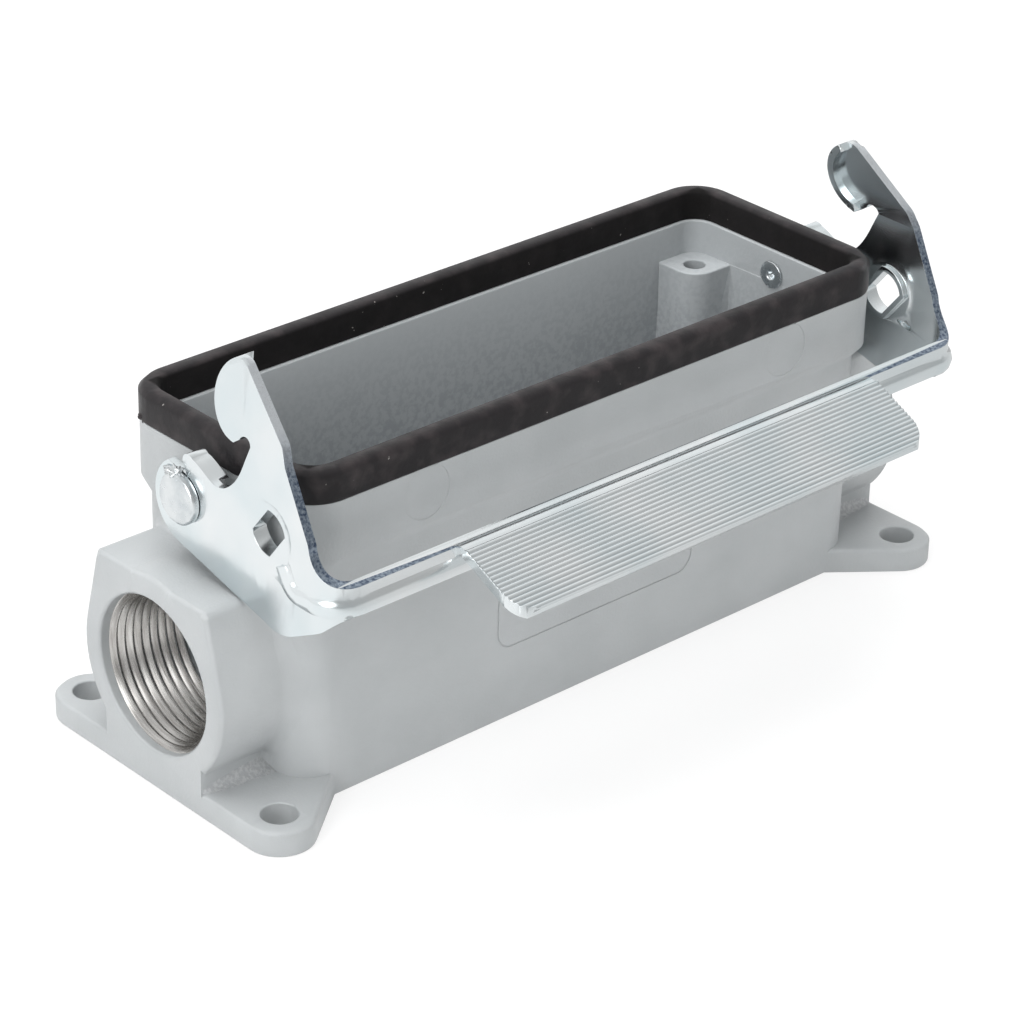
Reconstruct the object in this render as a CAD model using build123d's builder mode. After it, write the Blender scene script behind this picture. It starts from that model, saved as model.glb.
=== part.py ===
from build123d import *
import os
from math import asin, atan2, cos, hypot, radians, sin, tan

# Surface mount connector housing, 24 pole size: one die-cast housing with four
# fixing feet, a moulded rubber seal on its rim, and one pressed steel locking
# lever on two pivot pins.
# The origin is the centre of the base. +Z is up, +X runs along the long side
# away from the threaded cable entry, and -Y faces the grip of the lever.
# The lever is drawn as it stands open. All sizes are in millimetres.

# Seal and the mouth of the housing
seal_length = 120.0
seal_width = 43.0
seal_corner = 7.0
seal_wall = 3.2
seal_height = 5.1
seal_lip = 0.85
seal_roof = 1.5
seal_outer_chamfer = 0.9
seal_inner_chamfer = 0.6
seal_fit = 0.05

# Casting
rim_inset = 0.1
step_drop = 9.4
step_height = 2.4
step_in_x = 0.7
step_in_y = 2.2
body_corner = 6.0
floor_thickness = 3.4
cavity_ledge = 0.4
cavity_corner = 3.2
cavity_draft = 1.1

# Pillars that carry the contact insert
insert_inset = 8.0
insert_core_radius = 1.8
insert_core_depth = 12.0
pillar_drop = 5.7
pillar_radius = 3.9

# Fixing feet
foot_out_x = 6.8
foot_out_y = 3.5
foot_hole_radius = 2.8
foot_radius = 5.5
foot_thickness = 4.1
foot_root_in = 6.6
foot_edge_chamfer = 0.6

# Cable entry boss, and the blind boss opposite
entry_thread_radius = 12.5
entry_chamfer = 0.5
entry_chamfer_taper = 45.0
bore_overrun = 0.3
boss_wall = 4.0
boss_lift = 2.5
boss_crown = 15.9
boss_top_inset = 3.5
boss_web_inset = 5.1
boss_corner_round = 1.6
boss_edge_chamfer = 0.8
blind_side_wall = 5.5
blind_wall = 3.0

# Marks of the casting tool on the front face
pin_mark_radius = 4.4
pin_mark_inset = 22.7
pin_mark_drop = 4.0
pin_mark_depth = 0.1
field_inset = 38.5
field_height = 16.0
field_bottom = 12.4
field_corner = 3.0
field_line = 0.3
field_depth = 0.12

# Pivot of the lever
edge_clearance = 0.2
pivot_below_seal = 0.1
pin_radius = 2.0
pin_head_wall = 2.0
pin_head_height = 1.3
pin_head_chamfer = 0.35
pin_tail_lip = 0.3
pin_tail_height = 0.4
pin_tail_dimple = 0.9
pin_dimple_taper = 30.0
running_fit = 0.06
side_play = 0.2

# Lever, bent from one sheet
sheet = 1.5
plate_gap = 3.6
strip_gap = 10.8
bend_radius = 5.0
hook_bend_height = 13.9
plate_drop = 20.0
plate_rise = 12.0
hook_lean = 12.0
lip_depth = 3.0
lip_width = 1.3

# Lower edge of the end plates, a lobe round the pin and a slope down to the heel
lobe_centre = (-0.4, -1.0)
lobe_radius = 6.9
edge_slope = 13.8
heel_length = 20.2

# Front strip and the bead that stiffens it
strip_top = -2.0
strip_bottom = -6.3
bead_height = 0.8
bead_half_width = 1.7
bead_level = -5.2
bead_end_back = 11.0
bead_end_rise = 3.6
bead_bend = 2.7
bead_sides = 12
bead_slot_length = 3.0
bead_slot_width = 0.9
bead_slot_ahead = 0.2
bead_slot_z = -3.0
bead_slot_tilt = 15.0

# Grip, a ribbed flap rolled over from the strip
grip_inset = 22.4
grip_overhang = 13.9
grip_slope = 25.0
grip_bend = 1.8
grip_crown = -1.4
grip_corner = 4.0
rib_count = 17
rib_radius = 0.47
rib_height = 0.3

# Locking holes of the lever, round with two flats and drawn inwards to a collar
collar_y = -19.0
collar_z = 1.8
collar_hole_radius = 3.65
collar_flat = 2.35
collar_wall = 0.9
collar_depth = 1.5
collar_tilt = -52.0
dish_radius = 5.6
dish_depth = 0.4
dish_taper = 60.0

# Values that follow from the sizes above: heights, from the base up to the seal
boss_radius = entry_thread_radius + boss_wall
entry_height = boss_radius + boss_lift
boss_top = entry_height + boss_crown
boss_top_width = 2 * (boss_radius - boss_top_inset)
boss_web_width = 2 * (boss_radius - boss_web_inset)
blind_pocket_radius = boss_radius - blind_side_wall
lobe_foot = (
    lobe_centre[0] + lobe_radius * sin(radians(edge_slope)),
    lobe_centre[1] - lobe_radius * cos(radians(edge_slope)),
)
edge_drop = (boss_top_width / 2 + lobe_foot[0]) * tan(radians(edge_slope)) - lobe_foot[1]
pivot_height = boss_top + edge_drop + edge_clearance
pin_head_radius = pin_radius + pin_head_wall
pin_tail_radius = pin_radius + pin_tail_lip
seal_bottom = pivot_height + pin_head_radius + pivot_below_seal
step_top = seal_bottom - step_drop
step_bottom = step_top - step_height
pillar_top = seal_bottom - pillar_drop
pin_mark_height = seal_bottom - pin_mark_drop
seal_top = seal_bottom + seal_height

# Lengths and widths, from the seal outwards and inwards
rim_length = seal_length - 2 * seal_lip - 2 * seal_fit
rim_width = seal_width - 2 * seal_lip - 2 * seal_fit
rim_corner = seal_corner - seal_lip - seal_fit
mouth_length = seal_length - 2 * seal_wall
mouth_width = seal_width - 2 * seal_wall
mouth_corner = seal_corner - seal_wall
rim_inner = seal_lip + seal_fit
rim_top = seal_top - seal_roof - seal_fit
upper_length = seal_length - 2 * rim_inset
upper_width = seal_width - 2 * rim_inset
upper_corner = seal_corner - rim_inset
cavity_length = mouth_length - 2 * cavity_ledge
cavity_width = mouth_width - 2 * cavity_ledge
cavity_end = cavity_length / 2 - (seal_bottom - floor_thickness) * tan(radians(cavity_draft))
insert_pitch_x = seal_length - 2 * insert_inset
insert_pitch_y = seal_width - 2 * insert_inset
body_length = upper_length - 2 * step_in_x
body_width = upper_width - 2 * step_in_y
foot_pitch_x = body_length + 2 * foot_out_x
foot_pitch_y = body_width + 2 * foot_out_y
foot_root = body_length / 2 - foot_root_in
pin_mark_pitch = upper_length - 2 * pin_mark_inset
field_length = body_length - 2 * field_inset
lever_width = upper_length + 2 * (plate_gap + sheet)
lever_reach = upper_width / 2 + strip_gap + sheet
grip_length = lever_width - 2 * grip_inset
grip_reach = lever_reach + grip_overhang
foot_end = foot_pitch_x / 2 + foot_radius
foot_run = foot_pitch_x / 2 - foot_root
foot_rise = (foot_pitch_y - body_width) / 2
foot_lean = atan2(foot_rise, foot_run) + asin(foot_radius / hypot(foot_run, foot_rise))
foot_start = foot_root - foot_radius
foot_half_start = body_width / 2 - foot_radius * tan(foot_lean)
foot_half_end = body_width / 2 + (foot_end - foot_root) * tan(foot_lean)
plate_outside = lever_width / 2
plate_inside = plate_outside - sheet
pivot_boss_face = plate_inside - side_play
far = 2 * seal_length


def level(height):
    return Plane.XY.offset(height)


def across(x):
    """A plane at one station along the housing, drawn in Y and Z."""
    return Plane(origin=(x, 0, 0), x_dir=(0, 1, 0), z_dir=(1, 0, 0))


def facing_front(y):
    """A plane on the -Y side of the housing, drawn in X and Z and looking outwards."""
    return Plane(origin=(0, -y, 0), x_dir=(1, 0, 0), z_dir=(0, -1, 0))


def at_pivot(x=0.0):
    """The same plane with its origin on the axis of the pivot pins."""
    return Plane(origin=(x, 0, pivot_height), x_dir=(0, 1, 0), z_dir=(1, 0, 0))


# Housing: outer form

def boss_outline():
    """Round below, tangent flanks up to a flat top, and a web down to the foot."""
    half_top = boss_top_width / 2
    rise = boss_top - entry_height
    reach = hypot(half_top, rise)
    lean = atan2(rise, half_top) - (radians(90) - asin(boss_radius / reach))
    flank = (boss_radius * cos(lean), entry_height + boss_radius * sin(lean))
    with BuildSketch() as outline:
        with Locations((0, entry_height)):
            Circle(boss_radius)
        with BuildLine():
            Polyline(
                (flank[0], flank[1]),
                (half_top, boss_top),
                (-half_top, boss_top),
                (-flank[0], flank[1]),
                close=True,
            )
        make_face()
        with Locations((0, entry_height / 2)):
            Rectangle(boss_web_width, entry_height)
        top_corners = outline.vertices().group_by(Axis.Y)[-1]
        fillet(top_corners, boss_corner_round)
    return outline.sketch


with BuildPart() as bosses:
    with BuildSketch(across(-foot_end)):
        add(boss_outline())
    extrude(amount=2 * foot_end)
    end_rims = bosses.faces().sort_by(Axis.X)[0].edges() + bosses.faces().sort_by(Axis.X)[-1].edges()
    upper_rims = end_rims.filter_by(lambda edge: edge.center().Z > foot_thickness + boss_edge_chamfer)
    chamfer(upper_rims, boss_edge_chamfer)

with BuildPart() as feet:
    for side in (-1, 1):
        with BuildSketch() as foot_outline:
            with BuildLine():
                Polyline(
                    (side * foot_start, foot_half_start), (side * foot_end, foot_half_end),
                    (side * foot_end, -foot_half_end), (side * foot_start, -foot_half_start),
                    close=True,
                )
            make_face()
            ears = foot_outline.vertices().filter_by(lambda v: abs(v.X) > foot_root)
            fillet(ears, foot_radius)
        extrude(amount=foot_thickness)
    chamfer(feet.faces().filter_by(Axis.Z).group_by(Axis.Z)[-1].edges(), foot_edge_chamfer)

with BuildPart() as housing_body:
    with BuildSketch():
        RectangleRounded(body_length, body_width, body_corner)
    extrude(amount=step_bottom)
    with BuildSketch(level(step_bottom)):
        RectangleRounded(body_length, body_width, body_corner)
    with BuildSketch(level(step_top)):
        RectangleRounded(upper_length, upper_width, upper_corner)
    loft()
    with BuildSketch(level(step_top)):
        RectangleRounded(upper_length, upper_width, upper_corner)
    extrude(amount=seal_bottom - step_top)
    with BuildSketch(level(seal_bottom)):
        RectangleRounded(rim_length, rim_width, rim_corner)
    extrude(amount=rim_top - seal_bottom)
    add(bosses.part)
    add(feet.part)

    # Round pads that hold the lever off the end walls
    with BuildSketch(at_pivot(-pivot_boss_face)):
        Circle(pin_head_radius)
    extrude(amount=2 * pivot_boss_face)

    # Cavity, open at the top, with the four pillars left standing in its corners
    with BuildSketch(level(seal_bottom)) as cavity_plan:
        RectangleRounded(cavity_length, cavity_width, cavity_corner)
        pillar_length = cavity_length / 2 - insert_pitch_x / 2 + pillar_radius
        pillar_width = cavity_width / 2 - insert_pitch_y / 2 + pillar_radius
        with Locations(*[
            (x * (cavity_length - pillar_length) / 2, y * (cavity_width - pillar_width) / 2)
            for x in (-1, 1) for y in (-1, 1)
        ]):
            Rectangle(pillar_length, pillar_width, mode=Mode.SUBTRACT)
        noses = cavity_plan.vertices().sort_by(lambda v: abs(v.X) + abs(v.Y))[:4]
        fillet(noses, pillar_radius)
    extrude(amount=floor_thickness - seal_bottom, taper=cavity_draft, mode=Mode.SUBTRACT)
    with BuildSketch(level(pillar_top)):
        RectangleRounded(cavity_length, cavity_width, cavity_corner)
    extrude(amount=seal_bottom - pillar_top, mode=Mode.SUBTRACT)
    with BuildSketch(level(seal_bottom)):
        RectangleRounded(
            mouth_length + 2 * rim_inner, mouth_width + 2 * rim_inner, mouth_corner + rim_inner
        )
    extrude(amount=seal_height, mode=Mode.SUBTRACT)

    # Threaded entry, drawn at its nominal size, and the cored out blind boss
    with BuildSketch(across(-foot_end)):
        with Locations((0, entry_height)):
            Circle(entry_thread_radius)
    extrude(amount=foot_end - cavity_end + bore_overrun, mode=Mode.SUBTRACT)
    with BuildSketch(across(-foot_end)):
        with Locations((0, entry_height)):
            Circle(entry_thread_radius + entry_chamfer)
    extrude(amount=entry_chamfer, taper=entry_chamfer_taper, mode=Mode.SUBTRACT)
    with BuildSketch(across(foot_end - blind_wall)):
        with Locations((0, entry_height)):
            Circle(blind_pocket_radius)
    extrude(amount=blind_wall - foot_end + cavity_end - bore_overrun, mode=Mode.SUBTRACT)

    # Fixing holes, insert screw holes and the holes for the pivot pins
    with BuildSketch():
        with GridLocations(foot_pitch_x, foot_pitch_y, 2, 2):
            Circle(foot_hole_radius)
    extrude(amount=foot_thickness, mode=Mode.SUBTRACT)
    with BuildSketch(level(pillar_top)):
        with GridLocations(insert_pitch_x, insert_pitch_y, 2, 2):
            Circle(insert_core_radius)
    extrude(amount=-insert_core_depth, mode=Mode.SUBTRACT)
    with BuildSketch(at_pivot(-far / 2)):
        Circle(pin_radius)
    extrude(amount=far, mode=Mode.SUBTRACT)

    # Circles left by the ejector pins of the casting tool, and the outline of the label field
    with BuildSketch(facing_front(upper_width / 2)):
        with Locations((-pin_mark_pitch / 2, pin_mark_height), (pin_mark_pitch / 2, pin_mark_height)):
            Circle(pin_mark_radius)
    extrude(amount=-pin_mark_depth, mode=Mode.SUBTRACT)
    with BuildSketch(facing_front(body_width / 2)):
        with Locations((0, field_bottom + field_height / 2)):
            RectangleRounded(field_length, field_height, field_corner)
            RectangleRounded(
                field_length - 2 * field_line, field_height - 2 * field_line, field_corner - field_line,
                mode=Mode.SUBTRACT,
            )
    extrude(amount=-field_depth, mode=Mode.SUBTRACT)

housing_body.part.label = "housing_body"

# Seal: a moulded ring of U section that sits over the rim of the casting

with BuildPart() as rim_seal:
    with BuildSketch(level(seal_bottom)):
        RectangleRounded(seal_length, seal_width, seal_corner)
    extrude(amount=seal_height)
    with BuildSketch(level(seal_bottom)):
        RectangleRounded(mouth_length, mouth_width, mouth_corner)
    extrude(amount=seal_height, mode=Mode.SUBTRACT)
    top_edges = rim_seal.faces().sort_by(Axis.Z)[-1]
    chamfer(top_edges.outer_wire().edges(), seal_outer_chamfer)
    top_edges = rim_seal.faces().filter_by(Axis.Z).sort_by(Axis.Z)[-1]
    chamfer(top_edges.inner_wires()[0].edges(), seal_inner_chamfer)
    with BuildSketch(level(seal_bottom)):
        RectangleRounded(seal_length - 2 * seal_lip, seal_width - 2 * seal_lip, seal_corner - seal_lip)
        RectangleRounded(
            mouth_length + 2 * seal_lip, mouth_width + 2 * seal_lip, mouth_corner + seal_lip,
            mode=Mode.SUBTRACT,
        )
    extrude(amount=seal_height - seal_roof, mode=Mode.SUBTRACT)

rim_seal.part.label = "rim_seal"

# Pivot pins: a flat head outside, riveted over a little inside the wall

def pivot_pin(side):
    """One pin, turned about the pivot axis; side is -1 at the entry and 1 opposite."""
    drop = seal_bottom - pivot_height + pin_tail_radius
    wall = cavity_length / 2 - drop * tan(radians(cavity_draft))
    head = plate_outside + side_play / 2
    tail = wall - pin_tail_height
    with BuildPart() as pin:
        with BuildSketch(at_pivot(side * head)):
            Circle(pin_head_radius)
        extrude(amount=side * pin_head_height)
        rim = pin.edges().filter_by(GeomType.CIRCLE).sort_by(lambda edge: abs(edge.center().X))[-1]
        chamfer(rim, pin_head_chamfer)
        with BuildSketch(at_pivot(side * tail)):
            Circle(pin_radius)
        extrude(amount=side * (head - tail))
        with BuildSketch(at_pivot(side * tail)):
            Circle(pin_tail_radius)
        extrude(amount=side * pin_tail_height)
        with BuildSketch(at_pivot(side * tail)):
            Circle(pin_tail_dimple)
        extrude(amount=side * pin_tail_dimple, taper=pin_dimple_taper, mode=Mode.SUBTRACT)
    return pin


entry_pivot_pin = pivot_pin(-1)
entry_pivot_pin.part.label = "entry_pivot_pin"
far_pivot_pin = pivot_pin(1)
far_pivot_pin.part.label = "far_pivot_pin"

# Locking lever: outline of its end plates, in Y and Z from the pivot axis

hook_tip = (-9.9, 25.2)
hook_front = (-11.6, 25.3)
hook_back = (-6.4, 19.4)
hook_nose = (-11.8, 13.4)
notch_back = (-13.1, 14.3)
notch_top = (-14.5, 15.1)
notch_front = (-15.6, 14.0)
seat_curve = [(-14.2, 11.0), (-12.7, 8.2), (-10.6, 5.9), (-8.0, 4.8), (-5.0, 5.9)]
tongue_front = (-2.4, 7.0)
tongue_tip = (-0.9, 7.3)
tongue_back = (-0.1, 6.0)
lobe_dip = (-1.0, 4.0)
lobe_top = (3.3, 4.8)
lobe_side = (lobe_centre[0] + lobe_radius, lobe_centre[1])
heel_back = (
    lobe_foot[0] - heel_length * cos(radians(edge_slope)),
    lobe_foot[1] - heel_length * sin(radians(edge_slope)),
)
heel_low = (12.2 - lever_reach, -13.1)
heel_front = (9.3 - lever_reach, -12.4)
heel_corner = (3.1 - lever_reach, -9.2)
strip_out = -lever_reach - 2 * bead_height
plate_back = 2 * lobe_radius
shoulder = (5.5 - lever_reach, 3.6)
shoulder_mid = (3.5 - lever_reach, -0.3)
knee = (11.7 - lever_reach, 16.4)
knee_round = 3.0
heel_round = 4.0


def lever_outline():
    """Side view of the whole lever: hook, mouth, tongue, pin lobe, heel and strip."""
    with BuildSketch() as outline:
        with BuildLine():
            Line(hook_front, knee)
            Line(knee, shoulder)
            ThreePointArc(shoulder, shoulder_mid, (-lever_reach, strip_top))
            Polyline(
                (-lever_reach, strip_top), (strip_out, strip_top),
                (strip_out, strip_bottom), (-lever_reach, strip_bottom), heel_corner, heel_front,
            )
            ThreePointArc(heel_front, heel_low, heel_back)
            Line(heel_back, lobe_foot)
            ThreePointArc(lobe_foot, lobe_side, lobe_top)
            Polyline(lobe_top, lobe_dip, tongue_back)
            ThreePointArc(tongue_back, tongue_tip, tongue_front)
            Spline(tongue_front, *reversed(seat_curve), notch_front)
            ThreePointArc(notch_front, notch_top, notch_back)
            Line(notch_back, hook_nose)
            ThreePointArc(hook_nose, hook_back, hook_tip)
            Line(hook_tip, hook_front)
        make_face()
        fillet(outline.vertices().sort_by_distance((*knee, 0))[:1], knee_round)
        fillet(outline.vertices().sort_by_distance((*heel_corner, 0))[:1], heel_round)
    return outline.sketch


def side_section(depth):
    """End view of both upright plates, their hooks leaning inwards above the bend."""
    rise = knee[1] + plate_rise
    lean = rise * tan(radians(hook_lean))
    low = pivot_height - plate_drop
    bend = pivot_height + hook_bend_height
    high = bend + rise
    inner = plate_outside - depth
    with BuildSketch() as section:
        for side in (-1, 1):
            with BuildLine():
                Polyline(
                    (side * plate_outside, low), (side * plate_outside, bend),
                    (side * (plate_outside - lean), high), (side * (inner - lean), high),
                    (side * inner, bend), (side * inner, low),
                    close=True,
                )
            make_face()
    return section.sketch


def strip_plan(inset):
    """Plan of the bent strip, set in from its outer face, open towards +Y."""
    half = plate_outside - inset
    front = -lever_reach + inset
    with BuildSketch() as plan:
        with BuildLine():
            FilletPolyline(
                (half, 0), (half, front), (-half, front), (-half, 0),
                radius=bend_radius - inset,
            )
            Line((-half, 0), (half, 0))
        make_face()
    return plan.sketch


def upright_plates(depth):
    """Solid of both upright plates, before their outline is cut."""
    with BuildPart() as plates:
        with BuildSketch(Plane.XZ.offset(-plate_back)):
            add(side_section(depth))
        extrude(amount=plate_back + lever_reach - bend_radius)
    return plates.part


def rim_band(inside, *region):
    """What one region shows of the lever outline outside a smaller copy of it."""
    with BuildSketch() as band:
        add(lever_outline())
        add(inside, mode=Mode.SUBTRACT)
        with BuildLine():
            Polyline(*region, close=True)
        make_face(mode=Mode.INTERSECT)
    return band.sketch


hook_inside = offset(lever_outline(), amount=-lip_width)
hook_band = rim_band(hook_inside, hook_nose, hook_tip, (0, hook_tip[1]), (0, hook_nose[1]))
seat_inside = Pos(0, -lip_width) * lever_outline()
seat_band = rim_band(seat_inside, seat_curve[2], seat_curve[3], tongue_back, (0, hook_nose[1]))

with BuildPart() as end_plates:
    add(upright_plates(sheet))
    with BuildSketch(at_pivot()):
        add(lever_outline())
    extrude(amount=far, both=True, mode=Mode.INTERSECT)

with BuildPart() as turned_lips:
    add(upright_plates(lip_depth))
    with BuildSketch(at_pivot()):
        add(hook_band)
        add(seat_band)
    extrude(amount=far, both=True, mode=Mode.INTERSECT)

# The strip that joins the end plates, with a bead pressed out along it

bead_radius = (bead_half_width ** 2 + bead_height ** 2) / (2 * bead_height)
bead_end_reach = lever_reach - bead_end_back
bead_inset = bead_radius - bead_height


def bead_line():
    """Centre line of the bead: up one plate, round both corners and down the other."""
    half = plate_outside - bead_inset
    front = -lever_reach + bead_inset
    low = pivot_height + bead_level
    with BuildLine() as line:
        FilletPolyline(
            (-half, -bead_end_reach, low + bead_end_rise),
            (-half, -bead_end_reach - bead_end_rise / 2, low),
            (-half, front, low),
            (half, front, low),
            (half, -bead_end_reach - bead_end_rise / 2, low),
            (half, -bead_end_reach, low + bead_end_rise),
            radius=[bead_bend, bend_radius - bead_inset, bend_radius - bead_inset, bead_bend],
        )
    return line.line


def bead_tube(radius):
    path = bead_line()
    with BuildPart() as tube:
        with BuildSketch(Plane(origin=path @ 0, z_dir=path % 0)):
            RegularPolygon(radius, bead_sides)
        sweep(path=path)
    return tube.part


with BuildPart() as front_strip:
    with BuildSketch():
        add(strip_plan(0))
    extrude(amount=pivot_height)
    add(bead_tube(bead_radius))
    with BuildSketch():
        add(strip_plan(sheet))
    extrude(amount=2 * pivot_height, mode=Mode.SUBTRACT)
    add(bead_tube(bead_radius - sheet), mode=Mode.SUBTRACT)
    with BuildSketch(at_pivot()):
        add(lever_outline())
    extrude(amount=far, both=True, mode=Mode.INTERSECT)
    with BuildSketch(Plane.XZ.offset(bead_end_reach - bead_half_width)):
        Rectangle(far, far)
    extrude(amount=lever_reach, mode=Mode.INTERSECT)

# The grip: rolled over from the strip, its upper face ribbed along its length

grip_turn = 90 + grip_slope
grip_outside = grip_bend + sheet / 2
grip_hub = (-lever_reach + sheet / 2 - grip_bend, grip_crown - grip_outside)
grip_run = Vector(cos(radians(90 + grip_turn)), sin(radians(90 + grip_turn)))
grip_up = Vector(cos(radians(grip_turn)), sin(radians(grip_turn)))
grip_top = Vector(*grip_hub) + grip_up * grip_outside
grip_flat = (grip_reach + grip_top.X) / -grip_run.X
rib_pitch = grip_flat / rib_count
rib_start = grip_top + grip_run * (rib_pitch / 2) - grip_up * (rib_radius - rib_height)

with BuildPart() as grip:
    with BuildSketch(at_pivot(-grip_length / 2)):
        with BuildLine():
            root = Line((grip_hub[0] + grip_bend, strip_bottom), (grip_hub[0] + grip_bend, grip_hub[1]))
            roll = CenterArc(grip_hub, grip_bend, 0, grip_turn)
            flap = PolarLine(roll @ 1, grip_flat, direction=roll % 1)
        trace(lines=[root, roll, flap], line_width=sheet)
        with Locations(*[rib_start + grip_run * (rib_pitch * i) for i in range(rib_count)]):
            Circle(rib_radius)
    extrude(amount=grip_length)
    with BuildSketch() as grip_plan:
        Rectangle(grip_length, grip_reach, align=(Align.CENTER, Align.MAX))
        fillet(grip_plan.vertices().group_by(Axis.Y)[0], grip_corner)
    extrude(amount=far, both=True, mode=Mode.INTERSECT)


def two_flat_hole(grow):
    """Round hole with two flats, grown all round by one amount."""
    with BuildSketch() as hole:
        with Locations(Location((collar_y, collar_z, 0), (0, 0, collar_tilt))):
            Circle(collar_hole_radius + grow)
            Rectangle(far, 2 * (collar_flat + grow), mode=Mode.INTERSECT)
    return hole.sketch


with BuildPart() as locking_lever:
    add(end_plates.part)
    add(turned_lips.part)
    add(front_strip.part)
    add(grip.part)
    for side in (-1, 1):
        with BuildSketch(at_pivot(side * plate_inside)):
            with Locations((collar_y, collar_z)):
                Circle(dish_radius)
        extrude(amount=-side * dish_depth, taper=dish_taper)
        with BuildSketch(at_pivot(side * plate_inside)):
            add(two_flat_hole(collar_wall))
        extrude(amount=-side * collar_depth)
        with BuildSketch(at_pivot(side * plate_outside)):
            with Locations((collar_y, collar_z)):
                Circle(dish_radius)
        extrude(amount=-side * dish_depth, taper=dish_taper, mode=Mode.SUBTRACT)
        with BuildSketch(at_pivot(side * (plate_outside + side_play))):
            add(two_flat_hole(0))
            Circle(pin_radius + running_fit)
            with Locations(Location((-bead_end_reach - bead_slot_ahead, bead_slot_z, 0), (0, 0, bead_slot_tilt))):
                SlotOverall(bead_slot_length, bead_slot_width)
        extrude(amount=-side * (sheet + side_play + collar_depth), mode=Mode.SUBTRACT)

locking_lever.part.label = "locking_lever"

os.makedirs("parts", exist_ok=True)
for piece in (housing_body, rim_seal, entry_pivot_pin, far_pivot_pin, locking_lever):
    export_step(piece.part, "parts/" + piece.part.label + ".step")
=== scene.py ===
# %% [markdown]
# # A surface mount connector housing
# The solids of this part come ready made, with their true sizes and places.
# This script loads them, gives every surface its finish, adds the screw thread
# and softens the edges, and then sets up the floor, the light and the camera.

# %% Load the solids
import math
from itertools import combinations

import bmesh
import bpy
from mathutils import Matrix, Vector
from mathutils import noise as hills
from mathutils.bvhtree import BVHTree


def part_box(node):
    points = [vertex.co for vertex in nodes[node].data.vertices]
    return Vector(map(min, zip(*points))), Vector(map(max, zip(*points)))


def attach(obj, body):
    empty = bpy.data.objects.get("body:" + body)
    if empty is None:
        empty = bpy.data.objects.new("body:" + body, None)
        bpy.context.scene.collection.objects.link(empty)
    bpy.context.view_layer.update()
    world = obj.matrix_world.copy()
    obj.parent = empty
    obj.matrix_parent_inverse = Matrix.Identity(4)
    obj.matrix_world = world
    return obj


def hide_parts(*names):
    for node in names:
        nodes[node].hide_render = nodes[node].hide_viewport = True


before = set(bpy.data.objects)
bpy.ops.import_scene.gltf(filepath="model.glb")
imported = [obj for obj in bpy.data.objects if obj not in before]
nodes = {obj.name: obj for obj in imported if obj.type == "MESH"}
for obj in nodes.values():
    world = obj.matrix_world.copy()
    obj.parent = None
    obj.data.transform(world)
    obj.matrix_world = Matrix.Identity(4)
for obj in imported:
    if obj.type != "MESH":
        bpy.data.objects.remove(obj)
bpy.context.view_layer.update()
print("solids:", sorted(nodes))

MM = 0.001

# %% [markdown]
# ## From a mesh to an object
# Most shapes below are built as a bmesh, Blender's mesh for editing by script. It
# is written into mesh data, and an object puts that data into the scene.

# %% New piece


def new_piece(name, mesh, *materials):
    """Turns a bmesh into an object of the scene, with its materials."""
    data = bpy.data.meshes.new(name)
    mesh.to_mesh(data)
    mesh.free()
    for material in materials:
        data.materials.append(material)
    piece = bpy.data.objects.new(name, data)
    bpy.context.scene.collection.objects.link(piece)
    return piece


# %% [markdown]
# ## Camera
# A long lens far away flattens the view, as in a catalogue picture. The camera
# stands to the front left and above. Its place was found by matching known
# corners of the part, and the small roll levels it as the photographer held it.

# %% Camera
azimuth = math.radians(-43.03)
elevation = math.radians(28.083)
roll = math.radians(1.491)
back = Vector((
    math.sin(azimuth) * math.cos(elevation),
    -math.cos(azimuth) * math.cos(elevation),
    math.sin(elevation),
))
level_right = Vector((math.cos(azimuth), math.sin(azimuth), 0))
level_up = back.cross(level_right)
right = level_right * math.cos(roll) + level_up * math.sin(roll)
up = level_up * math.cos(roll) - level_right * math.sin(roll)
target = Vector((-23.746, -25.05, 40.0)) * MM
eye = target + back * 539.688 * MM

lens = bpy.data.cameras.new("camera")
lens.lens = 129.44
lens.sensor_width = 36
lens.clip_start = 0.01
camera = bpy.data.objects.new("camera", lens)
bpy.context.scene.collection.objects.link(camera)
turn = Matrix((right, up, back)).transposed().to_4x4()
camera.matrix_world = Matrix.Translation(eye) @ turn
bpy.context.scene.camera = camera
print("camera at", [round(v, 3) for v in eye])

# %% [markdown]
# ## Helpers for materials
# Every finish starts from the Principled shader. One helper makes it, and each of
# the others adds one kind of node and gives back its output, so a pattern grows
# line by line. Patterns read Object coordinates, so they keep their size in
# metres on every piece.

# %% Principled material and noise


def new_material(name, color, roughness, metallic=0.0):
    """A Principled material, with its tree, shader and Object coordinates."""
    material = bpy.data.materials.new(name)
    material.use_nodes = True
    tree = material.node_tree
    shader = tree.nodes["Principled BSDF"]
    shader.inputs["Base Color"].default_value = (*color, 1)
    shader.inputs["Roughness"].default_value = roughness
    shader.inputs["Metallic"].default_value = metallic
    place = tree.nodes.new("ShaderNodeTexCoord").outputs["Object"]
    return material, tree, shader, place


def noise(tree, place, size_mm, detail=3.0):
    """Noise whose blotches are about size_mm across, from 0 to 1."""
    made = tree.nodes.new("ShaderNodeTexNoise")
    made.inputs["Scale"].default_value = 1 / (size_mm * MM)
    made.inputs["Detail"].default_value = detail
    tree.links.new(place, made.inputs["Vector"])
    return made.outputs["Fac"]


# %% Nodes for numbers and colours


def fit_range(tree, value, low, high, to_low, to_high):
    """Carries the range low..high over to to_low..to_high, and clamps it."""
    made = tree.nodes.new("ShaderNodeMapRange")
    for name, number in zip(("From Min", "From Max", "To Min", "To Max"), (low, high, to_low, to_high)):
        made.inputs[name].default_value = number
    tree.links.new(value, made.inputs["Value"])
    return made.outputs["Result"]


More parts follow.
